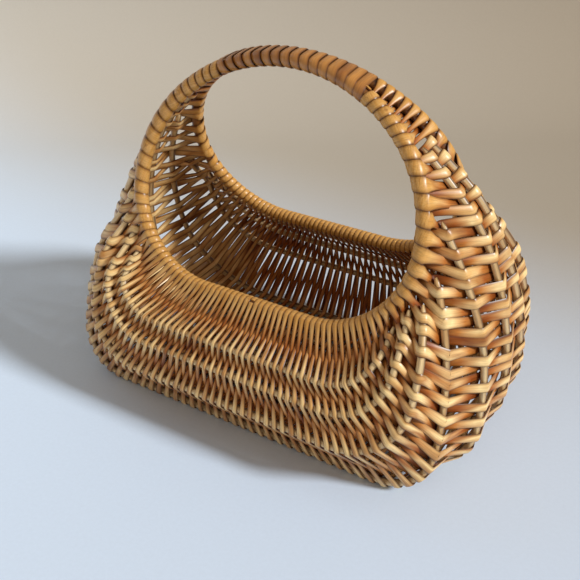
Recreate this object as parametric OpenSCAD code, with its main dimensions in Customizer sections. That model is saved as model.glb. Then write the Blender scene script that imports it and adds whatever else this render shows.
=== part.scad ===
// Woven willow market basket on a frame of bent rods, with one fixed arched handle.
// Millimetres, +Z up, X along the basket, origin under the middle of the base.

/* [Frame] */
// Length of the basket between the ends of the middle rib, rod line to rod line
basket_length = 306; // [285:1:325]
// Length of the opening between the ends of a rim, rod line to rod line
rim_length = 203; // [194:1:212]
// Height of the handle line above the rods of the base
handle_height = 240; // [225:1:260]
// Depth of the opening below the handle line, measured in the plane of a rim
rim_depth = 155; // [147:1:163]
// Lean of the plane of a rim from upright, degrees
rim_lean = 19.5; // [17.5:0.5:22]
// Width of the flat base between its outer ribs, rod line to rod line
base_width = 143; // [132:1:150]
// Distance from the middle plane that the sides of the basket swell towards
belly_reach = 101; // [94:1:106]
// Height above the base ribs that the sides of the basket swell towards
belly_height = 72; // [64:1:80]

/* [Rods] */
// Diameter of the two rim rods
rim_diameter = 7.4; // [6.6:0.1:8]
// Diameter of the ribs
rib_diameter = 5.6; // [5:0.1:6]
// Clear space between the two rim rods in the handle
rod_gap = 0.6; // [0.4:0.1:1.2]
// Rise of the growth knots of a rod above its surface
knot_rise = 0.15; // [0.1:0.05:0.2]
// Length of the growth knots of a rod
knot_length = 3; // [2:0.5:5]

/* [Weave] */
// Passes of the strand over each half of the basket, from the handle to the middle of the base
passes = 52; // [40:2:52]
// Thickness of the woven strand
strand_thickness = 1; // [0.8:0.1:1.2]
// Clear space between the strand and the rods it passes
strand_clearance = 0.35; // [0.25:0.05:0.5]
// Bare length of rim between the wrapped handle and the first pass
weave_gap = 2; // [1.5:0.5:5]
// Half-length of the wrapped handle, along the basket
handle_reach = 48; // [40:1:52]
// Turns of the wrapping on the handle
handle_turns = 16; // [12:1:20]

/* [Hidden] */

// Smoothness of the round rods
$fn = 48;

// Frame lines are numbered across the basket: front rim, five ribs, middle rib, five ribs, back rim
middle = 6;
last_line = 2 * middle;

// Turning of a rod by the end of the handle arch, by the end of its flank and by the base, degrees
arch_turn = 45;
side_turn = 92;
half_turn = 180;
right_turn = half_turn / 2;

// Place of each frame line on the side curve from the outer base rib to the rim, rim first
side_shares = [1, 0.777, 0.63, 0.445, 0];
// Place of the ribs inside the outer base rib, as a part of its distance from the middle
base_share = 0.5;
// Reach of each frame line towards the ends, between a rim and the middle rib, rim first
reach_shares = [0, 0.06, 0.22, 0.41, 0.93, 0.98, 1];
// Bend radius of a rim at the handle, as a part of the opening's length
rim_arch_share = 0.532;
// Bend radius that the middle rib would keep over the handle, as a part of the basket's length
rib_arch_share = 0.42;
// Spread of the passes on each frame line, between that on a rim and that on the middle rib, rim first
spread_shares = [0, 0.25, 0.48, 0.7, 0.86, 0.95, 1];
// Part of its line at which each rib starts below the handle, rim first
start_shares = [0, 0.58, 0.5, 0.46, 0.37, 0.3, 0.23];
// Pitch of the passes on the sides of a rim against its low part, and the parts of the passes between
// which the one pitch changes to the other
wide_share = 2.2;
flank_shares = [0.18, 0.4];
// Part of the passes of one half that run level round the raised end, from the handle down
level_share = 0.27;
// Part of the passes of one half that its upper strand makes
join_share = 0.5;
// Least rise of the strand at a fold, for the straight runs beside it, and the rise they are judged from
fold_share = 1.12;
tip_share = 1.7;
// Part of the pitch of the passes that the strand covers outside and inside the rods and on top of a rim
outside_share = 1;
inside_share = 0.43;
wrap_share = 1.6;
// Narrowing of the strand where it runs aslant from rod to rod
slant_share = 1.2;
// Part of a pitch added where the two halves of the weave meet, and by which a rib starts above its
// first pass
seam_share = 0.15;
stop_share = 0.02;
// Depth of the groove between two turns on the handle, as a part of the strand
groove_share = 0.7;
// Steps of the strand over a rim, degrees
wrap_steps = [45, 90, 135];
// Directions in which the handle wrapping is laid out, and rings of its smooth inner face
wrap_sides = 10;
inner_rings = 16;

rim_arch_radius = rim_length * rim_arch_share;
rim_radius = rim_diameter / 2;
rib_radius = rib_diameter / 2;
rib_lay = rib_radius + strand_clearance + strand_thickness / 2;
rim_lay = rim_radius + strand_clearance + strand_thickness / 2;
rim_offset = (rim_diameter + rod_gap) / 2;

function unit(v) = v / norm(v);
function rank(k) = middle - abs(k - middle);
function side(k) = sign(k - middle);
function is_rim(k) = rank(k) == 0;
function lay_of(k) = is_rim(k) ? rim_lay : rib_lay;
function offset_of(k) = is_rim(k) ? rim_offset : 0;

// Side of the basket in the middle plane, as distance and height above the base rods
rim_low = [rim_offset + rim_depth * sin(rim_lean), handle_height - rim_depth * cos(rim_lean)];
base_edge = [base_width / 2, 0];
function side_curve(t) =
    pow(1 - t, 3) * base_edge + 3 * t * pow(1 - t, 2) * [belly_reach, 0]
    + 3 * t * t * (1 - t) * [belly_reach, belly_height] + pow(t, 3) * rim_low;
function low_point(r) =
    r == middle ? [0, 0]
    : r == middle - 1 ? base_edge * base_share
    : side_curve(side_shares[r]);

// Lean, depth, half-length and bend radii of a frame line in its own plane
function drop_of(k) = [low_point(rank(k))[0] - offset_of(k), handle_height - low_point(rank(k))[1]];
function half_of(k) = (rim_length + (basket_length - rim_length) * reach_shares[rank(k)]) / 2;
function arch_of(k) =
    rim_arch_radius + (basket_length * rib_arch_share - rim_arch_radius) * reach_shares[rank(k)];
function flank_of(k) = (half_of(k) - arch_of(k) * sin(arch_turn)) / (1 - sin(arch_turn));
function corner_of(k) =
    (norm(drop_of(k)) - arch_of(k) * (1 - cos(arch_turn)) - flank_of(k) * (cos(arch_turn) - cos(side_turn)))
    / (1 + cos(side_turn));
function flat_of(k) =
    arch_of(k) * sin(arch_turn) + flank_of(k) * (sin(side_turn) - sin(arch_turn))
    - corner_of(k) * sin(side_turn);
lines = [for (k = [0:last_line])
    [arch_of(k), flank_of(k), corner_of(k), flat_of(k), atan2(drop_of(k)[0], drop_of(k)[1])]];

// Length along each frame line from the handle to the end of its arch, flank, corner and flat
arc = PI / half_turn;
function ends_of(l) =
    let (a = l[0] * arch_turn * arc, b = a + l[1] * (side_turn - arch_turn) * arc,
         c = b + l[2] * (half_turn - side_turn) * arc)
    [0, a, b, c, c + l[3]];
ends = [for (l = lines) ends_of(l)];
function full(k) = ends[k][4];

// Turning, place and direction of a frame line at a length along it
function turn_at(k, s) =
    s < ends[k][1] ? s / lines[k][0] / arc
    : s < ends[k][2] ? arch_turn + (s - ends[k][1]) / lines[k][1] / arc
    : s < ends[k][3] ? side_turn + (s - ends[k][2]) / lines[k][2] / arc
    : half_turn;
function plane_at(k, s) =
    let (l = lines[k], a = turn_at(k, s), b = min(a, arch_turn), c = min(max(a, arch_turn), side_turn),
         d = max(a, side_turn))
    [l[0] * sin(b) + l[1] * (sin(c) - sin(arch_turn)) + l[2] * (sin(d) - sin(side_turn))
        - max(s - ends[k][3], 0),
     l[0] * (1 - cos(b)) + l[1] * (cos(arch_turn) - cos(c)) + l[2] * (cos(side_turn) - cos(d))];
function point_at(k, s) =
    let (p = plane_at(k, s), lean = lines[k][4])
    [p[0], side(k) * (offset_of(k) + p[1] * sin(lean)), handle_height - p[1] * cos(lean)];
function along_at(k, s) =
    let (a = turn_at(k, s), lean = lines[k][4])
    [cos(a), side(k) * sin(a) * sin(lean), -sin(a) * cos(lean)];

// Place of each pass along a rim, as a part of its length
weave_start = asin(handle_reach / rim_arch_radius) * arc * rim_arch_radius + weave_gap;
function weight(i) = lookup((i + 1 / 2) / passes, [[flank_shares[0], wide_share], [flank_shares[1], 1]]);
function weight_to(i) = i < 0 ? 0 : weight_to(i - 1) + weight(i);
whole_weight = weight_to(passes - 1) + weight(passes - 1) * seam_share;
first_part = weave_start / full(0);
rim_parts = [for (i = [0:passes - 1])
    first_part + (1 - first_part) * (weight_to(i - 1) + weight(i) / 2) / whole_weight];

// Place of each pass on each frame line, as a part of its length: the first passes run level round the
// raised end, at their height on a rim, and the rest fan out from there to the middle of the base
level_passes = 2 * round(passes * level_share / 2);
function level_run(k, height) =
    let (l = lines[k], e = ends[k], y = (handle_height - height) / cos(l[4]),
         a = plane_at(k, e[1])[1], b = plane_at(k, e[2])[1])
    y < a ? l[0] * acos(1 - y / l[0]) * arc
    : y < b ? e[1] + l[1] * (acos(cos(arch_turn) - (y - a) / l[1]) - arch_turn) * arc
    : e[2] + l[2] * (acos(cos(side_turn) - (y - b) / l[2]) - side_turn) * arc;
level_parts = [for (k = [0:last_line]) [for (i = [0:level_passes - 1])
    level_run(k, point_at(0, full(0) * rim_parts[i])[2]) / full(k)]];
function level_end(k) =
    let (a = level_parts[k][level_passes - 1], b = level_parts[k][level_passes - 2]) a + (a - b) / 2;
function fan_part(k, i) =
    let (r = spread_shares[rank(k)], w = weight_to(level_passes - 1),
         a = (weight_to(i - 1) + weight(i) / 2 - w) / (whole_weight - w),
         b = (i + 1 / 2 - level_passes) / (passes + seam_share - level_passes))
    a * (1 - r) + b * r;
function part_at(k, i) =
    is_rim(k) ? rim_parts[i]
    : i < level_passes ? level_parts[k][i]
    : level_end(k) + (1 - level_end(k)) * fan_part(k, i);
function run_at(k, i) = full(k) * part_at(k, i);
pass_points = [for (k = [0:last_line]) [for (i = [0:passes - 1]) point_at(k, run_at(k, i))]];

// Frame lines that a pass meets, front to back; the two passes of a pair meet the same ones
function met(i) = [for (k = [0:last_line]) if (part_at(k, i - i % 2) >= start_shares[rank(k)]) k];
function first_pass(k) = [for (i = [0:passes - 1]) if (part_at(k, i - i % 2) >= start_shares[rank(k)]) i][0];
function rod_start(k) =
    let (i = first_pass(k))
    is_rim(k) ? 0 : run_at(k, i) - (run_at(k, i) - run_at(k, i - 1)) * stop_share;

// Crossings of one pass, front to back: place, direction along the rod, outward direction,
// direction across the wall, room for the strand and rise of the strand from the rod
function outward(ps, as, j) =
    unit(cross(as[j], ps[min(j + 1, len(ps) - 1)] - ps[max(j - 1, 0)]));
function room(k, i) =
    let (p = pass_points[k])
    i == 0 ? norm(p[1] - p[0])
    : i == passes - 1 ? norm(p[i] - p[i - 1])
    : min(norm(p[i] - p[i - 1]), norm(p[i + 1] - p[i]));
function turned(n) = n % 2 == 0 ? 1 : -1;
function climb(from, to, o, x) = let (v = to - from) sqrt(1 + pow(v * o / (v * x), 2));
function slim(from, to, a, x) = let (v = to - from) 1 / (1 + slant_share * pow(v * a / (v * x), 2));
function crossings(i) =
    let (ks = met(i), n = len(ks) - 1,
         ps = [for (k = ks) pass_points[k][i]],
         as = [for (k = ks) along_at(k, run_at(k, i))],
         os = [for (j = [0:n]) outward(ps, as, j)],
         xs = [for (j = [0:n]) cross(os[j], as[j])],
         tips = [for (j = [0:n]) ps[j] + os[j] * (lay_of(ks[j]) * tip_share * turned(i + j))])
    [for (j = [0:n])
        [ps[j], as[j], os[j], xs[j],
         room(ks[j], i) * min(j > 0 ? slim(tips[j], tips[j - 1], as[j], xs[j]) : 1,
                              j < n ? slim(tips[j], tips[j + 1], as[j], xs[j]) : 1),
         lay_of(ks[j]) * max(fold_share, j > 0 ? climb(tips[j], tips[j - 1], os[j], xs[j]) : 0,
                             j < n ? climb(tips[j], tips[j + 1], os[j], xs[j]) : 0)]];
all_crossings = [for (i = [0:passes - 1]) crossings(i)];

// One cross-section of the strand: middle, width direction, face direction, width
function strand(c, a, f, w) =
    let (u = a * w / 2, v = f * strand_thickness / 2) [c + u + v, c - u + v, c - u - v, c + u - v];

// The strand along pass i, over and under by turns; odd passes run back to front
function pass_sections(i) =
    let (xs = all_crossings[i], n = len(xs) - 1, face = turned(i))
    [for (m = [0:n])
        let (j = face > 0 ? m : n - m, x = xs[j], s = turned(i + j))
        strand(x[0] + x[2] * x[5] * s, x[1], x[2] * face, x[4] * (s > 0 ? outside_share : inside_share))];

// The strand round a rim between pass i and the next, round the back rim after an even pass
function wrap_sections(i) =
    let (back = i % 2 == 0, a = all_crossings[i], b = all_crossings[i + 1], n = len(a) - 1,
         x = a[back ? n : 0], y = b[back ? len(b) - 1 : 0], k = back ? last_line : 0,
         s = turned(back ? i + n : i))
    [for (step = wrap_steps)
        let (share = step / half_turn, turn = s > 0 ? step : half_turn - step,
             run = run_at(k, i) + (run_at(k, i + 1) - run_at(k, i)) * share,
             o = unit(x[2] * (1 - share) + y[2] * share),
             up = unit(x[3] * (1 - share) + y[3] * share) * (back ? 1 : -1),
             f = o * cos(turn) + up * sin(turn))
        strand(point_at(k, run) + f * rim_lay * fold_share, along_at(k, run), f * s * turned(i),
               (x[4] + y[4]) / 2 * (wrap_share - abs(cos(turn)) * (wrap_share - 1)))];

// Each half is woven with two strands, and the lower takes over from the upper end to end
function rows(from, to) = [for (i = [from:to])
    each concat(pass_sections(i), i < passes - 1 ? wrap_sections(i) : [])];
join_pass = 2 * round(passes * join_share / 2);
upper_rows = rows(0, join_pass - 1);
lower_rows = concat([upper_rows[len(upper_rows) - 1]], rows(join_pass, passes - 1));

// Lowest place of the weave below the base rods, on which the basket stands
foot = min([for (r = concat(upper_rows, lower_rows)) for (p = r) p[2]]);

module ribbon(rows) {
    n = len(rows);
    points = [for (r = rows) each r];
    sides = [for (r = [0:n - 2]) for (q = [0:3])
        let (a = 4 * r + q, b = 4 * r + (q + 1) % 4) each [[a, b, b + 4], [a, b + 4, a + 4]]];
    caps = [[2, 1, 0], [3, 2, 0],
            [4 * n - 4, 4 * n - 3, 4 * n - 2], [4 * n - 4, 4 * n - 2, 4 * n - 1]];
    polyhedron(points, concat(sides, caps), convexity = 10);
}

// A bend of a rod in its own plane, X along the basket and Y towards the base
module bend(radius, from, to, thick) {
    rotate_extrude(angle = to - from, start = from - right_turn)
        translate([radius, 0]) circle(d = thick);
}

// The bends of one half of a rod below its start, each turning about its own middle, with a knot
// between bends
module half_rod(k, start, thick) {
    l = lines[k];
    first = turn_at(k, start);
    flank_middle = [(l[0] - l[1]) * sin(arch_turn), l[0] * (1 - cos(arch_turn)) + l[1] * cos(arch_turn)];
    corner_middle = flank_middle + (l[1] - l[2]) * [sin(side_turn), -cos(side_turn)];
    if (first < arch_turn)
        translate([0, l[0]]) bend(l[0], first, arch_turn, thick);
    if (first < side_turn)
        translate(flank_middle) bend(l[1], max(first, arch_turn), side_turn, thick);
    translate(corner_middle) bend(l[2], max(first, side_turn), half_turn, thick);
    for (e = [1:3])
        if (ends[k][e] > start + knot_length)
            translate(plane_at(k, ends[k][e])) rotate([0, right_turn, turn_at(k, ends[k][e])])
                cylinder(d = thick + 2 * knot_rise, h = knot_length, center = true);
}

module rod(k) {
    thick = is_rim(k) ? rim_diameter : rib_diameter;
    flat = lines[k][3];
    translate([0, side(k) * offset_of(k), handle_height - foot])
        rotate([side(k) * lines[k][4] - right_turn, 0, 0]) {
            half_rod(k, rod_start(k), thick);
            mirror([1, 0, 0]) half_rod(k, rod_start(k), thick);
            translate([-flat, norm(drop_of(k)), 0]) rotate([0, right_turn, 0])
                cylinder(d = thick, h = 2 * flat);
        }
}

// Reach of the two handle rods from the handle line in one direction, at one place along the handle
function bundle_reach(x, angle) =
    let (d = [cos(angle), sin(angle)],
         cut = sqrt(rim_arch_radius * rim_arch_radius - x * x),
         drop = rim_arch_radius - cut,
         y = rim_offset + drop * sin(rim_lean), z = -drop * cos(rim_lean))
    max([y, z] * d, [-y, z] * d) + (rim_radius + 2 * strand_clearance) * rim_arch_radius / cut;
wrap_turn = 2 * half_turn / wrap_sides;
function wrap_corner(x, q, extra) =
    let (a = q * wrap_turn, b = a + wrap_turn,
         u = bundle_reach(x, a) + extra, v = bundle_reach(x, b) + extra)
    [x, (u * sin(b) - v * sin(a)) / sin(wrap_turn),
     handle_height + (v * cos(a) - u * cos(b)) / sin(wrap_turn)];
function wrap_ring(x, extra) = [for (q = [0:wrap_sides - 1]) wrap_corner(x, q, extra)];

module tube(outer, inner) {
    n = len(outer[0]);
    a = len(outer);
    b = len(inner);
    skip = a * n;
    points = concat([for (r = outer) each r], [for (r = inner) each r]);
    outside = [for (r = [0:a - 2]) for (q = [0:n - 1])
        let (i = r * n + q, j = r * n + (q + 1) % n) each [[i, i + n, j + n], [i, j + n, j]]];
    inside = [for (r = [0:b - 2]) for (q = [0:n - 1])
        let (i = skip + r * n + q, j = skip + r * n + (q + 1) % n) each [[i, j + n, i + n], [i, j, j + n]]];
    rims = [for (q = [0:n - 1])
        let (p = (q + 1) % n, e = (a - 1) * n, f = skip + (b - 1) * n)
        each [[q, p, skip + p], [q, skip + p, skip + q], [e + q, f + p, e + p], [e + q, f + q, f + p]]];
    polyhedron(points, concat(outside, inside, rims), convexity = 10);
}

module front_rim() color("#b07c3a") rod(0);
module back_rim() color("#b07c3a") rod(last_line);
module middle_rib() color("#e6c78d") rod(middle);
module front_rib_1() color("#e6c78d") rod(1);
module front_rib_2() color("#e6c78d") rod(2);
module front_rib_3() color("#e6c78d") rod(3);
module front_rib_4() color("#e6c78d") rod(4);
module front_rib_5() color("#e6c78d") rod(5);
module back_rib_1() color("#e6c78d") rod(last_line - 1);
module back_rib_2() color("#e6c78d") rod(last_line - 2);
module back_rib_3() color("#e6c78d") rod(last_line - 3);
module back_rib_4() color("#e6c78d") rod(last_line - 4);
module back_rib_5() color("#e6c78d") rod(last_line - 5);
module upper_weave_right() color("#c9a066") translate([0, 0, -foot]) ribbon(upper_rows);
module lower_weave_right() color("#c9a066") translate([0, 0, -foot]) ribbon(lower_rows);
module upper_weave_left() mirror([1, 0, 0]) upper_weave_right();
module lower_weave_left() mirror([1, 0, 0]) lower_weave_right();
module handle_wrap() color("#b8843f") {
    outer = [for (i = [0:2 * handle_turns])
        wrap_ring(handle_reach * (i / handle_turns - 1),
                  strand_thickness * (i % 2 == 0 ? 1 - groove_share : 1))];
    inner = [for (i = [0:inner_rings]) wrap_ring(handle_reach * (2 * i / inner_rings - 1), 0)];
    translate([0, 0, -foot]) tube(outer, inner);
}

front_rim();
back_rim();
middle_rib();
front_rib_1();
front_rib_2();
front_rib_3();
front_rib_4();
front_rib_5();
back_rib_1();
back_rib_2();
back_rib_3();
back_rib_4();
back_rib_5();
upper_weave_right();
lower_weave_right();
upper_weave_left();
lower_weave_left();
handle_wrap();
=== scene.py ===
import math

import bpy
import numpy as np
from mathutils import Matrix, Vector


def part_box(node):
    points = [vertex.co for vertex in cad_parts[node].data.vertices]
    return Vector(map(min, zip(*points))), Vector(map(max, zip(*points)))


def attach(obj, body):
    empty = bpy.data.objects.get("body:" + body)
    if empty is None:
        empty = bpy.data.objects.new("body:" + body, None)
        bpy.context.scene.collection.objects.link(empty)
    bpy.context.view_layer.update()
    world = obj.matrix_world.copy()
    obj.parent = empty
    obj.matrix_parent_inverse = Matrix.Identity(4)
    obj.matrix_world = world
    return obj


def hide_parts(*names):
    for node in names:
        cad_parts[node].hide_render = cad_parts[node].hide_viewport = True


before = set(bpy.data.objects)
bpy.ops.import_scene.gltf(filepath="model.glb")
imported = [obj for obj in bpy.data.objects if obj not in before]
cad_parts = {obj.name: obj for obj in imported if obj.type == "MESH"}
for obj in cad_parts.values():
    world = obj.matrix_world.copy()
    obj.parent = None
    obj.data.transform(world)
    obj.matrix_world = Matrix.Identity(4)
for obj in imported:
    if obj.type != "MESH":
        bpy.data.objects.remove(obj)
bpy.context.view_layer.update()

SEED = 7
rng = np.random.default_rng(SEED)

# Frame of the basket, millimetres, as in the solids
RIM_LENGTH = 203
HANDLE_HEIGHT = 240
RIM_DEPTH = 155
RIM_LEAN = math.radians(19.5)
RIM_ARCH_RADIUS = 0.532 * RIM_LENGTH
BASE_WIDTH = 143
BELLY_REACH = 101
BELLY_HEIGHT = 72
RIM_DIAMETER = 7.4
RIB_DIAMETER = 5.6
KNOT_RISE = 0.15
SHOWN_RIB_DIAMETER = 4.8
ROD_GAP = 0.6
HANDLE_REACH = 48

# Frame lines are numbered across the basket: front rim, five ribs, middle rib, five ribs, back rim
MIDDLE = 6
LAST_LINE = 2 * MIDDLE
ARCH_TURN, SIDE_TURN, HALF_TURN = np.radians([45, 92, 180])
SIDE_SHARES = [1, 0.771, 0.65, 0.475, 0]
BASE_SHARE = 0.5
# Half length, slide to the right and radius at the top of each line, front rim to back rim, millimetres
HALF_LENGTHS = [RIM_LENGTH / 2, 99, 108, 121, 141, 151, 154, 153, 145, 121, 108, 99, RIM_LENGTH / 2]
SLIDES = [0, -4, -3, -2, -8, -2, 0, 2, 5, 2, 3, 4, 0]
ARCH_RADII = [RIM_ARCH_RADIUS, 66, 72, 82, 92, 114, 128, 128, 122, 86, 76, 68, RIM_ARCH_RADIUS]
SPREAD_SHARES = [0, 0.25, 0.48, 0.7, 0.86, 0.95, 1]
# Part of its line at which each rod starts, front rim to back rim
START_SHARES = [0, 0.6, 0.535, 0.456, 0.368, 0.304, 0.212, 0.215, 0.3, 0.45, 0.53, 0.595, 0]
# Place of the upper end of a rib between the rim and the next rib, and the length over which it leaves it
BESIDE_SHARES = [0, 0.6, 0.55, 0.5, 0.4, 0.35, 0.42, 0.5, 0.6, 0.5, 0.5, 0.5, 0]
LEAVE_LENGTHS = [1, 30, 35, 40, 70, 110, 75, 50, 60, 40, 40, 40, 1]

# Strand: pairs of passes in one half, thickness, widest on a rib and on a rim, millimetres
PAIRS = 43
STRAND_THICKNESS = 1.35
RIB_STRAND_WIDTH = 7.2
RIM_STRAND_WIDTH = 11.5
# Pairs at which the pitch is given, pitch of the pairs there on a rim and on the middle rib, handle to base
PITCH_PAIRS = [0, 5, 8, 13, 16, 21, 27, 43]
RIM_PITCHES = [6.3, 6.5, 10, 10.5, 7, 4.8, 4.2, 3.9]
MIDDLE_PITCHES = [7, 9, 11, 12, 12, 12, 7.6, 6.8]
# Pairs that run level round the raised ends, and how far the last of them sags on each line, rim to middle rib
LEVEL_PAIRS = 13
SAGS = [0, 0, 0, 1, 4, 8, 12]
ARC_SAMPLES = 5
SPAN_SAMPLES = 6
WRAP_SAMPLES = 9

MM = 0.001


def unit(v):
    return v / np.linalg.norm(v, axis=-1, keepdims=True)


def rank(k):
    return MIDDLE - abs(k - MIDDLE)


RIM_OFFSET = (RIM_DIAMETER + ROD_GAP) / 2
TOP_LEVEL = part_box("middle_rib")[0].z / MM + RIB_DIAMETER / 2 + KNOT_RISE + HANDLE_HEIGHT
BASE_LEVEL = SHOWN_RIB_DIAMETER / 2 + STRAND_THICKNESS * 1.1


def low_point(r):
    """Distance and height of a frame line in the middle of a long side."""
    if r == MIDDLE:
        return np.array([0, BASE_LEVEL])
    if r == MIDDLE - 1:
        return np.array([BASE_WIDTH / 2 * BASE_SHARE, BASE_LEVEL])
    t = SIDE_SHARES[r]
    ends = np.array([
        [BASE_WIDTH / 2, BASE_LEVEL],
        [BELLY_REACH, BASE_LEVEL],
        [BELLY_REACH, BASE_LEVEL + BELLY_HEIGHT],
        [RIM_OFFSET + RIM_DEPTH * math.sin(RIM_LEAN), TOP_LEVEL - RIM_DEPTH * math.cos(RIM_LEAN)],
    ])
    return (np.array([(1 - t) ** 3, 3 * t * (1 - t) ** 2, 3 * t * t * (1 - t), t ** 3])) @ ends


class FrameLine:
    """One bent rod: half of it from the handle to the middle of the base, by length along it."""

    def __init__(self, k):
        self.leave = LEAVE_LENGTHS[k]
        self.slide = SLIDES[k]
        self.side = np.sign(k - MIDDLE)
        self.rank = rank(k)
        self.is_rim = self.rank == 0
        self.radius = (RIM_DIAMETER if self.is_rim else SHOWN_RIB_DIAMETER) / 2
        self.shift = np.zeros(3)
        self.offset = RIM_OFFSET if self.is_rim else 0
        out, height = low_point(self.rank)
        drop = np.array([out - self.offset, TOP_LEVEL - height])
        self.lean = math.atan2(*drop)
        depth = np.linalg.norm(drop)
        half = HALF_LENGTHS[k]
        sin_a, cos_a, sin_s, cos_s = (f(a) for a in (ARCH_TURN, SIDE_TURN) for f in (math.sin, math.cos))
        self.arch = ARCH_RADII[k]
        self.flank = (half - self.arch * sin_a) / (1 - sin_a)
        self.corner = (depth - self.arch * (1 - cos_a) - self.flank * (cos_a - cos_s)) / (1 + cos_s)
        flat = self.arch * sin_a + self.flank * (sin_s - sin_a) - self.corner * sin_s
        self.ends = np.cumsum([0, self.arch * ARCH_TURN, self.flank * (SIDE_TURN - ARCH_TURN),
                               self.corner * (HALF_TURN - SIDE_TURN), flat])
        self.full = self.ends[-1]
        self.start = START_SHARES[k] * self.full

    def turn(self, s):
        return np.interp(s, self.ends, [0, ARCH_TURN, SIDE_TURN, HALF_TURN, HALF_TURN])

    def point(self, s):
        a = self.turn(s)
        b, c, d = np.minimum(a, ARCH_TURN), np.clip(a, ARCH_TURN, SIDE_TURN), np.maximum(a, SIDE_TURN)
        x = (self.arch * np.sin(b) + self.flank * (np.sin(c) - np.sin(ARCH_TURN))
             + self.corner * (np.sin(d) - np.sin(SIDE_TURN)) - np.maximum(s - self.ends[3], 0))
        y = (self.arch * (1 - np.cos(b)) + self.flank * (np.cos(ARCH_TURN) - np.cos(c))
             + self.corner * (np.cos(SIDE_TURN) - np.cos(d)))
        return np.stack([x, self.side * (self.offset + y * math.sin(self.lean)),
                         TOP_LEVEL - y * math.cos(self.lean)], axis=-1) + self.shift * (1 - self.left(s))

    def left(self, s):
        """How far the rod has left the rim it starts beside, 0 to 1."""
        t = np.clip((np.asarray(s) - self.start) / self.leave, 0, 1)
        return (t * t * (3 - 2 * t))[..., None]

    def at_height(self, height):
        s = np.linspace(0, self.full, 400)
        return np.interp(-height, -self.point(s)[:, 2], s)

    def around(self, s):
        """Place by length along the whole rod, from the handle down the right and up the left."""
        s = np.asarray(s, float)
        half = np.where(s > self.full, 2 * self.full - s, s)
        mirror = np.stack([np.where(s > self.full, -1, 1), np.ones_like(s), np.ones_like(s)], axis=-1)
        return self.point(half) * mirror + np.array([self.slide, 0, 0]) * self.left(half)

    def along(self, s):
        step = 0.5
        return unit(self.around(np.asarray(s) + step) - self.around(np.asarray(s) - step))


LINES = [FrameLine(k) for k in range(LAST_LINE + 1)]

# The upper ends of the ribs lie beside the rims
NEIGHBOURS = [(MIDDLE, 0, LAST_LINE)]
for r in range(MIDDLE - 1, 0, -1):
    NEIGHBOURS += [(r, 0, r + 1), (LAST_LINE - r, LAST_LINE, LAST_LINE - r - 1)]
for k, rim, inner in NEIGHBOURS:
    end = LINES[k].point(LINES[k].start)
    beside, within = (LINES[m].point(LINES[m].at_height(end[2])) for m in (rim, inner))
    LINES[k].shift = (beside + (within - beside) * BESIDE_SHARES[k] - end) * np.array([1, 1, 0])

# Places of the passes along the rims and the middle rib
HALF_PASSES = 2 * PAIRS
ALL_PASSES = 2 * HALF_PASSES
MIDDLE_LINE = LINES[MIDDLE]
HANDLE_END = math.asin(HANDLE_REACH / RIM_ARCH_RADIUS)
WEAVE_START = HANDLE_END * RIM_ARCH_RADIUS - 1


def steps(pitches):
    """Room of each pass of one half, from the pitches of the pairs."""
    return np.interp((np.arange(HALF_PASSES) + 0.5) / 2, PITCH_PAIRS, pitches) / 2


def spread(rooms, first, last):
    """Places of passes that fill a length in proportion to their rooms."""
    ends = np.cumsum(rooms)
    return first + (last - first) * (ends - rooms / 2) / ends[-1]


RIM_STEPS, MIDDLE_STEPS = steps(RIM_PITCHES), steps(MIDDLE_PITCHES)
RIM_RUNS = spread(RIM_STEPS, WEAVE_START, LINES[0].full)
LEVEL_PASSES = 2 * LEVEL_PAIRS


def half_runs(k):
    """Length along one half of rod k of each pass: level at first, then fanned out to the base."""
    line = LINES[k]
    if line.is_rim:
        return RIM_RUNS
    sag = SAGS[line.rank] * (np.arange(LEVEL_PASSES) / LEVEL_PASSES) ** 2.5
    level = line.at_height(LINES[0].point(RIM_RUNS[:LEVEL_PASSES])[:, 2] - sag)
    share = SPREAD_SHARES[line.rank]
    rooms = (RIM_STEPS * (1 - share) + MIDDLE_STEPS * share)[LEVEL_PASSES:]
    return np.concatenate([level, spread(rooms, level[-1] + rooms[0] / 2, line.full)])


HALF_RUNS = [half_runs(k) for k in range(LAST_LINE + 1)]
RUNS = np.array([np.concatenate([r, 2 * LINES[k].full - r[::-1]]) for k, r in enumerate(HALF_RUNS)])
PITCHES = np.array([np.gradient(r) for r in RUNS]) * 2
UNEVEN = 0.035
RUNS += PITCHES * rng.normal(0, UNEVEN, RUNS.shape) * (np.arange(LAST_LINE + 1) % LAST_LINE > 0)[:, None]


def part_at(k, i):
    return HALF_RUNS[k][i] / LINES[k].full


def met(i):
    """Frame lines that pass i meets; the two passes of a pair meet the same ones."""
    j = min(i, ALL_PASSES - 1 - i)
    j -= j % 2
    return [k for k in range(LAST_LINE + 1) if part_at(k, j) >= START_SHARES[k]]


def crossings(i):
    """Places, rod directions and outward directions where pass i meets the rods, front to back."""
    ks = met(i)
    places = np.array([LINES[k].around(RUNS[k, i]) for k in ks])
    alongs = np.array([LINES[k].along(RUNS[k, i]) for k in ks])
    chords = np.array([places[min(j + 1, len(ks) - 1)] - places[max(j - 1, 0)] for j in range(len(ks))])
    return ks, places, alongs, unit(np.cross(alongs, chords))


WIDTH_SHARES = 1 + rng.uniform(-0.08, 0.08, ALL_PASSES)
RIB_COVER = 0.64
RIM_COVER = 1.04


def rod_width(k, i):
    """Width of the strand where pass i crosses rod k."""
    if LINES[k].is_rim:
        return min(RIM_STRAND_WIDTH, RIM_COVER * PITCHES[k, i])
    return min(RIB_STRAND_WIDTH, RIB_COVER * PITCHES[k, i]) * WIDTH_SHARES[i]


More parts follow.
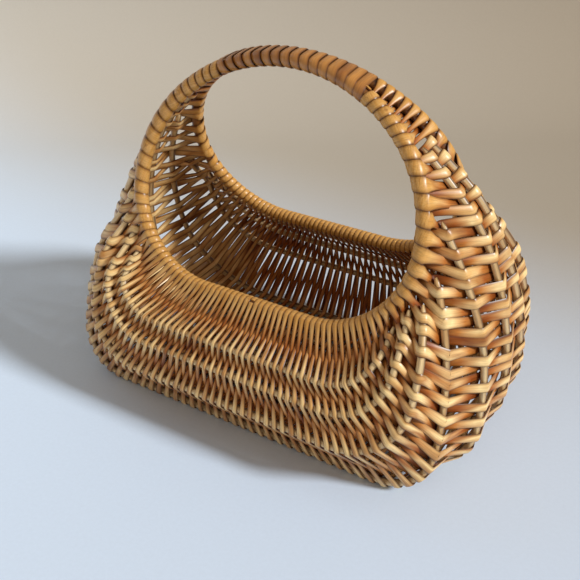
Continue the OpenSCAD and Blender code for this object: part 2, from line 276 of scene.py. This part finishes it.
class Strand:
    """Collects the middle line of a strand with its width direction, face direction and width."""

    def __init__(self):
        self.rows = []

    # depth, 0 over a rod to 1 under it, later sets the painted shade
    def add(self, place, along, face, width, tilt, hug, tone, depth=0, outer=0):
        self.rows.append(np.concatenate([place, along, face, [width, tilt, hug, tone, depth, outer]]))

    def arrays(self):
        a = np.array(self.rows)
        return a[:, :3], a[:, 3:6], a[:, 6:9], *a[:, 9:].T


def sign(n):
    return 1 if n % 2 == 0 else -1


def lay(k):
    """Distance of the strand's middle from the rod's middle."""
    return LINES[k].radius + STRAND_THICKNESS * 0.55


UNDER_WIDTH = 0.8
SPAN_COVER = 1.0
LADDER_WAIST = 0.32
WRAP_TILT = math.radians(7)
STEEPEST = math.radians(80)
PASS_TONES = rng.random(ALL_PASSES)


def slopes(places, outs, acrosses, sides):
    """Slope of a taut strand as it comes to and leaves each rod, seen along the rod."""
    n = len(places)
    arrive, leave = np.zeros(n), np.zeros(n)
    for _ in range(3):
        def touch(turns):
            return places + sides[:, None] * (np.cos(turns)[:, None] * outs - np.sin(turns)[:, None] * acrosses)
        runs = touch(arrive)[1:] - touch(leave)[:-1]
        leave[:-1] = np.arctan2((runs * outs[:-1]).sum(1), (runs * acrosses[:-1]).sum(1))
        arrive[1:] = np.arctan2((runs * outs[1:]).sum(1), (runs * acrosses[1:]).sum(1))
        leave, arrive = np.clip(leave, -STEEPEST, STEEPEST), np.clip(arrive, -STEEPEST, STEEPEST)
        slack = (arrive - leave) * np.sign(sides) < 0
        arrive[slack] = leave[slack] = ((arrive + leave) / 2)[slack]
    return arrive, leave


def pass_rows(strand, i):
    """Pass i drawn tight from rod to rod, over and under by turns; odd passes run back to front."""
    ks, places, alongs, outs = crossings(i)
    n = len(ks) - 1
    face = sign(i)
    acrosses = np.cross(outs, alongs)
    sides = np.array([sign(i + j) * lay(k) for j, k in enumerate(ks)])
    widths = [rod_width(k, i) * (1 if side > 0 else UNDER_WIDTH) for k, side in zip(ks, sides)]
    arrive, leave = slopes(places, outs, acrosses, sides)
    rows = []
    for j in range(n + 1):
        rim = float(LINES[ks[j]].is_rim)
        for turn in np.linspace(arrive[j], leave[j], ARC_SAMPLES):
            away = outs[j] * math.cos(turn) - acrosses[j] * math.sin(turn)
            rows.append((places[j] + away * sides[j], alongs[j], outs[j] * face, widths[j], 0, rim,
                         PASS_TONES[i], 0 if sides[j] > 0 else 1, face))
        if j == n:
            break
        start = rows[-1][0]
        next_away = outs[j + 1] * math.cos(arrive[j + 1]) - acrosses[j + 1] * math.sin(arrive[j + 1])
        end = places[j + 1] + next_away * sides[j + 1]
        next_rim = float(LINES[ks[j + 1]].is_rim)
        for t in np.arange(1, SPAN_SAMPLES) / SPAN_SAMPLES:
            blend = (1 - math.cos(math.pi * t)) / 2
            room = ((1 - t) * PITCHES[ks[j], i] + t * PITCHES[ks[j + 1], i]) / 2
            width = widths[j] * (1 - blend) + widths[j + 1] * blend
            width += (min(width, room * SPAN_COVER) - width) * math.sin(math.pi * t)
            width *= 1 - LADDER_WAIST * rim * next_rim * math.sin(math.pi * t)
            rows.append((start * (1 - t) + end * t, alongs[j] * (1 - t) + alongs[j + 1] * t,
                         (outs[j] * (1 - t) + outs[j + 1] * t) * face, width, 0,
                         rim * (1 - t) ** 2 + next_rim * t ** 2, PASS_TONES[i],
                         t if sides[j] > 0 else 1 - t, face))
    for row in rows if face > 0 else rows[::-1]:
        strand.add(*row)


def wrap_rows(strand, i):
    """The turn round a rim between pass i and the next, round the back rim after an even pass."""
    back = i % 2 == 0
    k = LAST_LINE if back else 0
    ks, places, alongs, outs = crossings(i)
    next_ks, next_places, next_alongs, next_outs = crossings(i + 1)
    j, l = (len(ks) - 1, len(next_ks) - 1) if back else (0, 0)
    s = sign(i + j)
    for step in np.arange(1, WRAP_SAMPLES) / WRAP_SAMPLES:
        turn = math.pi * (step if s > 0 else 1 - step)
        run = RUNS[k, i] + (RUNS[k, i + 1] - RUNS[k, i]) * step
        along = LINES[k].along(run)
        out = unit(outs[j] * (1 - step) + next_outs[l] * step)
        up = unit(np.cross(out, along)) * (1 if back else -1)
        away = out * math.cos(turn) + up * math.sin(turn)
        width = rod_width(k, i) * (1 - step) + rod_width(k, i + 1) * step
        tone = PASS_TONES[i] * (1 - step) + PASS_TONES[i + 1] * step
        strand.add(LINES[k].around(run) + away * lay(k), along, away * s * sign(i), width,
                   WRAP_TILT * math.sin(turn) * s * sign(i), 1, tone)


# Outline of the strand's cross-section, as parts of its width and thickness
SECTION = np.array([[-0.5, 0], [-0.36, 0.36], [0, 0.5], [0.36, 0.36],
                    [0.5, 0], [0.36, -0.36], [0, -0.5], [-0.36, -0.36]])


# Painted shade in the colour of the inside of the weave, and the part of it left at the ends, which the light
# reaches
INSIDE_SHADE = 0.42
END_SHADE = 0.3
END_REACH = [70, 112]


def smoothed(rows, rounds):
    """Rounds off the corners of a line of points, its ends kept."""
    for _ in range(rounds):
        rows[1:-1] = (rows[:-2] + 2 * rows[1:-1] + rows[2:]) / 4
    return rows


def mesh_object(name, points, faces, values, material, sharp=50):
    """A mesh object in metres from points in millimetres, with named values on its points."""
    mesh = bpy.data.meshes.new(name)
    mesh.from_pydata((points * MM).tolist(), [], faces.tolist() if hasattr(faces, "tolist") else faces)
    for key, data in values.items():
        kind = "FLOAT" if data.ndim == 1 else "FLOAT_VECTOR"
        layer = mesh.attributes.new(key, kind, "POINT")
        layer.data.foreach_set("value" if data.ndim == 1 else "vector", data.astype(np.float32).ravel())
    mesh.polygons.foreach_set("use_smooth", np.ones(len(mesh.polygons), bool))
    mesh.set_sharp_from_angle(angle=math.radians(sharp))
    mesh.materials.append(material)
    obj = bpy.data.objects.new(name, mesh)
    bpy.context.scene.collection.objects.link(obj)
    return obj


def swept(middles, widths, faces_dir, outline):
    """Points of a closed outline carried along a line: width direction and face direction per row."""
    return (middles[:, None] + widths[:, None] * outline[None, :, :1]
            + faces_dir[:, None] * outline[None, :, 1:]).reshape(-1, 3)


def tube_faces(rows, sides):
    """Quads of a swept outline and its two end caps."""
    r, q = np.meshgrid(np.arange(rows - 1), np.arange(sides), indexing="ij")
    a, b = r * sides + q, r * sides + (q + 1) % sides
    quads = np.stack([a, b, b + sides, a + sides], axis=-1).reshape(-1, 4).tolist()
    last = (rows - 1) * sides
    return quads + [list(range(sides))[::-1], list(range(last, last + sides))]


def strand_object(name, strand, material):
    """A flat strand as a mesh, with grain coordinates along and across it and a painted shade value."""
    middles, alongs, faces_dir, widths, tilts, hugs, tones, depths, outers = strand.arrays()
    middles = smoothed(middles, 1)
    widths = smoothed(widths, 2)
    run = unit(np.gradient(middles, axis=0))
    across = unit(alongs - run * (alongs * run).sum(1, keepdims=True))
    up = np.cross(run, across)
    up *= np.sign((up * faces_dir).sum(1, keepdims=True))
    c, s = np.cos(tilts)[:, None], np.sin(tilts)[:, None]
    across, up = across * c + up * s, up * c - across * s
    n, sides = len(middles), len(SECTION)
    points = swept(middles, across * widths[:, None], up * STRAND_THICKNESS, SECTION)
    length = np.concatenate([[0], np.cumsum(np.linalg.norm(np.diff(middles, axis=0), axis=1))])
    grain = np.stack([np.repeat(length, sides) * MM, np.tile(SECTION[:, 0] * 2, n),
                      np.repeat(tones, sides)], axis=-1)
    # Painted shade: darker where the strand passes under a rod and on its inside face, less at the ends
    outside = 0.5 + outers[:, None] * SECTION[:, 1]
    inside = INSIDE_SHADE + (1 - INSIDE_SHADE) * (1 - depths[:, None])
    inside = inside * np.interp(np.abs(middles[:, :1]), END_REACH, [1, END_SHADE])
    painted_shade = outside * depths[:, None] + (1 - outside) * inside
    painted_shade *= np.abs(outers)[:, None]
    faces = tube_faces(n, sides)
    flip = ((np.cross(across, up) * run).sum(1).mean() < 0)
    if not flip:
        faces = [f[::-1] for f in faces]
    return mesh_object(name, points, faces, {"grain": grain, "hug": np.repeat(hugs, sides),
                                                   "depth": painted_shade.ravel()}, material)


# Rods

ROD_SIDES = 14
ROD_STEP = 3.0


def rod_object(name, k, first_part, material):
    """A bent rod with the uneven thickness of a grown shoot and, on a rib, pointed ends."""
    line = LINES[k]
    start = first_part * line.full
    s = np.arange(start, 2 * line.full - start + ROD_STEP / 2, ROD_STEP)
    places = line.around(s)
    run = unit(np.gradient(places, axis=0))
    normal = np.array([0, math.cos(line.lean), line.side * math.sin(line.lean)])
    inner = unit(np.cross(run, normal))
    normal = np.cross(inner, run)
    shape = smoothed(rng.normal(0, 1, len(s)), 12)
    radii = line.radius * (1 + 0.06 * shape)
    if not line.is_rim:
        tip = 9.0
        end = np.minimum(s - s[0], s[-1] - s)
        radii = radii * (0.35 + 0.65 * np.sqrt(np.clip(end / tip, 0, 1)))
    angles = np.arange(ROD_SIDES) / ROD_SIDES * 2 * math.pi
    outline = np.stack([np.cos(angles), np.sin(angles)], axis=-1)
    points = swept(places, normal * radii[:, None], inner * radii[:, None], outline)
    grain = np.stack([np.repeat(s, ROD_SIDES) * MM, np.tile(np.sin(angles), len(s)),
                      np.full(len(s) * ROD_SIDES, rng.random())], axis=-1)
    return mesh_object(name, points, tube_faces(len(s), ROD_SIDES), {"grain": grain}, material, 80)


# Handle wrapping

HANDLE_TURNS = 16
HANDLE_SAMPLES = 40
HANDLE_TILT = math.radians(8)


def handle_rows(strand):
    """A strand wound close round both rims at the top of the handle."""
    rim = LINES[LAST_LINE]
    end = HANDLE_END + 1.5 / RIM_ARCH_RADIUS
    radius = rim.radius + STRAND_THICKNESS * 0.55
    total = HANDLE_TURNS * HANDLE_SAMPLES
    width = 2 * end * RIM_ARCH_RADIUS / HANDLE_TURNS
    tones = rng.random(HANDLE_TURNS + 1)
    for m in range(total + 1):
        turn = m / HANDLE_SAMPLES
        theta = -end + 2 * end * m / total
        angle = 2 * math.pi * (turn % 1)
        centre = rim.around(abs(theta) * RIM_ARCH_RADIUS) * np.array([1 if theta >= 0 else -1, 1, 1])
        radial = np.array([math.sin(theta), 0, math.cos(theta)])
        away = np.array([0, 1, 0]) * math.cos(angle) + radial * math.sin(angle)
        slide = np.clip(math.cos(angle) * 3, -1, 1)
        place = centre * np.array([1, slide, 1]) + away * radius
        along = np.array([math.cos(theta), 0, -math.sin(theta)])
        strand.add(place, along, away, width * 1.12, HANDLE_TILT, 1, tones[int(turn)])


# Materials

def srgb(*values):
    """Linear colour from 0 to 255 sRGB values."""
    c = np.array(values) / 255
    return (*np.where(c <= 0.04045, c / 12.92, ((c + 0.055) / 1.055) ** 2.4), 1.0)


def node(tree, kind, **settings):
    made = tree.nodes.new(kind)
    for key, value in settings.items():
        setattr(made, key, value)
    return made


def link(tree, source, target):
    tree.links.new(source, target)


def ramp(tree, source, stops):
    made = node(tree, "ShaderNodeValToRGB")
    elements = made.color_ramp.elements
    while len(elements) < len(stops):
        elements.new(0.5)
    for element, (place, colour) in zip(elements, stops):
        element.position = place
        element.color = colour
    link(tree, source, made.inputs["Fac"])
    return made.outputs["Color"]


def mixed(tree, factor, a, b, mode="MIX"):
    made = node(tree, "ShaderNodeMix", data_type="RGBA", blend_type=mode)
    for value, socket in ((factor, made.inputs[0]), (a, made.inputs[6]), (b, made.inputs[7])):
        if hasattr(value, "is_linked"):
            link(tree, value, socket)
        else:
            socket.default_value = value
    return made.outputs[2]


def noise(tree, source, stretch, detail=4, rough=0.6):
    mapping = node(tree, "ShaderNodeMapping")
    mapping.inputs["Scale"].default_value = stretch
    link(tree, source, mapping.inputs["Vector"])
    made = node(tree, "ShaderNodeTexNoise")
    made.inputs["Scale"].default_value = 1
    made.inputs["Detail"].default_value = detail
    made.inputs["Roughness"].default_value = rough
    link(tree, mapping.outputs["Vector"], made.inputs["Vector"])
    return made.outputs["Fac"]


def grey(v):
    return (v, v, v, 1)


def willow(name, tints, hug_tint=None, roughness=(0.32, 0.5), coat=0.25, shine=0.5, fibre=0.00012):
    """Split or peeled willow: fibres along it, a tint of its own for each strand, varnish on top, painted shade
    along its edges and in sunk places.
    """
    material = bpy.data.materials.new(name)
    material.use_nodes = True
    tree = material.node_tree
    shader = tree.nodes["Principled BSDF"]
    grain = node(tree, "ShaderNodeAttribute", attribute_name="grain").outputs["Vector"]
    split = node(tree, "ShaderNodeSeparateXYZ")
    link(tree, grain, split.inputs["Vector"])
    tone = noise(tree, grain, (16, 0.2, 37), 2, 0.5)
    colour = ramp(tree, tone, [(0.3 + 0.4 * m / (len(tints) - 1), t) for m, t in enumerate(tints)])
    if hug_tint:
        hug = node(tree, "ShaderNodeAttribute", attribute_name="hug").outputs["Fac"]
        amount = node(tree, "ShaderNodeMath", operation="MULTIPLY")
        amount.inputs[1].default_value = 0.8
        link(tree, hug, amount.inputs[0])
        colour = mixed(tree, amount.outputs[0], colour, hug_tint)
    fibres = noise(tree, grain, (90, 5, 51), 6, 0.65)
    colour = mixed(tree, 1.0, colour, ramp(tree, fibres, [(0.3, grey(0.76)), (0.6, grey(1.06))]), "MULTIPLY")
    stains = noise(tree, grain, (28, 0.8, 17), 3, 0.6)
    colour = mixed(tree, ramp(tree, stains, [(0.6, grey(0)), (0.74, grey(0.55))]), colour, srgb(128, 74, 34))
    # Painted shade: each strand and rod darker along its edges, where it meets its neighbours
    edge = node(tree, "ShaderNodeMath", operation="ABSOLUTE")
    link(tree, split.outputs["Y"], edge.inputs[0])
    painted_edge_shade = ramp(tree, edge.outputs[0],
                      [(0.5, grey(1)), (0.8, (0.66, 0.6, 0.54, 1)), (1, (0.14, 0.09, 0.06, 1))])
    colour = mixed(tree, 1.0, colour, painted_edge_shade, "MULTIPLY")
    # Painted shade: the depth value darkens the colour to reddish brown in sunk places and on the inside
    depth = node(tree, "ShaderNodeAttribute", attribute_name="depth").outputs["Fac"]
    painted_depth_shade = ramp(tree, depth, [(0.15, grey(1)), (0.6, srgb(200, 150, 104)), (1, srgb(104, 56, 28))])
    colour = mixed(tree, 1.0, colour, painted_depth_shade, "MULTIPLY")
    link(tree, colour, shader.inputs["Base Color"])
    link(tree, ramp(tree, fibres, [(0.3, grey(roughness[1])), (0.7, grey(roughness[0]))]),
         shader.inputs["Roughness"])
    shader.inputs["Specular IOR Level"].default_value = shine
    if hug_tint:
        link(tree, ramp(tree, depth, [(0.15, grey(coat)), (0.7, grey(0))]), shader.inputs["Coat Weight"])
    else:
        shader.inputs["Coat Weight"].default_value = coat
    shader.inputs["Coat Roughness"].default_value = 0.3
    bump = node(tree, "ShaderNodeBump")
    bump.inputs["Strength"].default_value = 0.6
    bump.inputs["Distance"].default_value = fibre
    link(tree, fibres, bump.inputs["Height"])
    link(tree, bump.outputs["Normal"], shader.inputs["Normal"])
    return material


strand_material = willow(
    "willow_strand",
    [srgb(148, 92, 42), srgb(220, 170, 102), srgb(248, 214, 150), srgb(188, 130, 68), srgb(238, 194, 128)],
    hug_tint=srgb(204, 147, 68), roughness=(0.3, 0.54), coat=0.5, shine=0.18)
handle_material = willow(
    "willow_handle", [srgb(144, 86, 34), srgb(198, 136, 64), srgb(168, 106, 44)], coat=0.35)
rib_material = willow("willow_rib", [srgb(226, 188, 128), srgb(240, 212, 160), srgb(214, 170, 108)])
rim_material = willow("willow_rim", [srgb(120, 70, 28), srgb(150, 96, 44), srgb(128, 78, 32)])


def add_piece(obj, slot, *nodes):
    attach(obj, "root")
    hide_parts(*nodes)


# Weave

for half, side in ((0, "right"), (1, "left")):
    strand = Strand()
    first = half * HALF_PASSES
    for i in range(first, first + HALF_PASSES):
        pass_rows(strand, i)
        if i < ALL_PASSES - 1:
            wrap_rows(strand, i)
    piece = strand_object("weave_" + side, strand, strand_material)
    add_piece(piece, "strand", "upper_weave_" + side, "lower_weave_" + side)

# Frame

RIB_NAMES = {MIDDLE: "middle_rib"}
for r in range(1, MIDDLE):
    RIB_NAMES[r] = f"front_rib_{r}"
    RIB_NAMES[LAST_LINE - r] = f"back_rib_{r}"
for k, rib in RIB_NAMES.items():
    first = next(part_at(k, i) for i in range(0, HALF_PASSES, 2) if part_at(k, i) >= START_SHARES[k])
    first -= 2 / LINES[k].full
    piece = rod_object("shown_" + rib, k, first, rib_material)
    add_piece(piece, "rib_rod", rib)
for k, rim in ((0, "front_rim"), (LAST_LINE, "back_rim")):
    piece = rod_object("shown_" + rim, k, 0, rim_material)
    add_piece(piece, "rim_rod", rim)

strand = Strand()
handle_rows(strand)
add_piece(strand_object("shown_handle_wrap", strand, handle_material), "handle_strand", "handle_wrap")

# Room, light and camera

PHOTO_SIZE = 580
CAMERA_AZIMUTH = math.radians(30.42)
CAMERA_ELEVATION = math.radians(34.67)
CAMERA_DISTANCE = 0.5618
CAMERA_FOCUS_PIXELS = 775.7
CAMERA_ROLL = math.radians(-0.75)
CAMERA_TARGET = Vector((-0.0063, 0, 0.0749))

scene = bpy.context.scene
camera = bpy.data.objects.new("camera", bpy.data.cameras.new("camera"))
scene.collection.objects.link(camera)
camera.data.sensor_width = 36
camera.data.lens = CAMERA_FOCUS_PIXELS / PHOTO_SIZE * camera.data.sensor_width
back = Vector((math.sin(CAMERA_AZIMUTH) * math.cos(CAMERA_ELEVATION),
               -math.cos(CAMERA_AZIMUTH) * math.cos(CAMERA_ELEVATION), math.sin(CAMERA_ELEVATION)))
turn = (-back).to_track_quat("-Z", "Y").to_matrix().to_4x4() @ Matrix.Rotation(CAMERA_ROLL, 4, "Z")
camera.matrix_world = Matrix.Translation(CAMERA_TARGET + back * CAMERA_DISTANCE) @ turn
camera.data.clip_start, camera.data.clip_end = 0.01, 50
scene.camera = camera

FLOOR_SIZE = 3.0
WALL_DISTANCE = 0.42
SWEEP_RADIUS = 0.25


def backdrop():
    """A pale floor that sweeps up into a wall behind the basket, square to the camera."""
    steps = [(-FLOOR_SIZE, 0)]
    for a in np.linspace(0, math.pi / 2, 16):
        steps.append((WALL_DISTANCE + SWEEP_RADIUS * math.sin(a), SWEEP_RADIUS * (1 - math.cos(a))))
    steps.append((WALL_DISTANCE + SWEEP_RADIUS, FLOOR_SIZE))
    points = np.array([[x, d, z] for d, z in steps for x in (-FLOOR_SIZE, FLOOR_SIZE)])
    c, s = math.cos(CAMERA_AZIMUTH), math.sin(CAMERA_AZIMUTH)
    turned = points @ np.array([[c, s, 0], [-s, c, 0], [0, 0, 1]])
    faces = [[2 * m, 2 * m + 1, 2 * m + 3, 2 * m + 2] for m in range(len(steps) - 1)]
    material = bpy.data.materials.new("paper")
    material.use_nodes = True
    tree = material.node_tree
    shader = tree.nodes["Principled BSDF"]
    place = node(tree, "ShaderNodeNewGeometry").outputs["Position"]
    split = node(tree, "ShaderNodeSeparateXYZ")
    link(tree, place, split.inputs["Vector"])
    speck = noise(tree, place, (400, 400, 400), 3)
    across = node(tree, "ShaderNodeVectorMath", operation="DOT_PRODUCT")
    across.inputs[1].default_value = (c, s, 0)
    link(tree, place, across.inputs[0])
    # Painted shade: wall and floor grow darker towards the right; the floor's cool blue tint is painted cool
    # light
    painted_shade_across = node(tree, "ShaderNodeMapRange")
    painted_shade_across.inputs["From Min"].default_value = -0.6
    painted_shade_across.inputs["From Max"].default_value = 0.6
    link(tree, across.outputs["Value"], painted_shade_across.inputs["Value"])
    wall = ramp(tree, painted_shade_across.outputs[0], [(0, srgb(202, 197, 186)), (1, srgb(158, 145, 126))])
    floor = ramp(tree, painted_shade_across.outputs[0], [(0, srgb(218, 235, 253)), (1, srgb(202, 214, 231))])
    far = node(tree, "ShaderNodeMapRange", interpolation_type="SMOOTHSTEP")
    far.inputs["From Min"].default_value = -0.02
    far.inputs["From Max"].default_value = 0.36
    link(tree, split.outputs["Y"], far.inputs["Value"])
    base = mixed(tree, far.outputs[0], floor, wall)
    link(tree, mixed(tree, 1.0, base, ramp(tree, speck, [(0.3, grey(0.97)), (0.7, grey(1))]), "MULTIPLY"),
         shader.inputs["Base Color"])
    shader.inputs["Roughness"].default_value = 0.9
    shader.inputs["Specular IOR Level"].default_value = 0.1
    return mesh_object("floor", turned / MM, faces, {}, material)


backdrop()


def key_light(place, strength, softness, colour):
    """Even light from far away, from a place towards the middle of the floor."""
    data = bpy.data.lights.new("key", "SUN")
    data.energy = strength
    data.angle = softness
    data.color = colour
    obj = bpy.data.objects.new("key", data)
    obj.location = place
    obj.rotation_mode = "QUATERNION"
    obj.rotation_quaternion = (-Vector(place)).to_track_quat("-Z", "Y")
    scene.collection.objects.link(obj)


key_light((3.0, 0.4, 1.9), 3.5, math.radians(11), (0.94, 0.97, 1.0))
world = bpy.data.worlds.new("studio")
world.use_nodes = True
tree = world.node_tree
fill = tree.nodes["Background"]
fill.inputs["Color"].default_value = (1.0, 0.84, 0.69, 1)
fill.inputs["Strength"].default_value = 0.42
# Beyond the floor the camera sees a pale ground, which lights nothing
ground = node(tree, "ShaderNodeBackground")
ground.inputs["Color"].default_value = srgb(205, 212, 222)
ground.inputs["Strength"].default_value = 1
seen = node(tree, "ShaderNodeMixShader")
link(tree, node(tree, "ShaderNodeLightPath").outputs["Is Camera Ray"], seen.inputs[0])
link(tree, fill.outputs[0], seen.inputs[1])
link(tree, ground.outputs[0], seen.inputs[2])
link(tree, seen.outputs[0], tree.nodes["World Output"].inputs["Surface"])
scene.world = world
scene.view_settings.view_transform = "Standard"
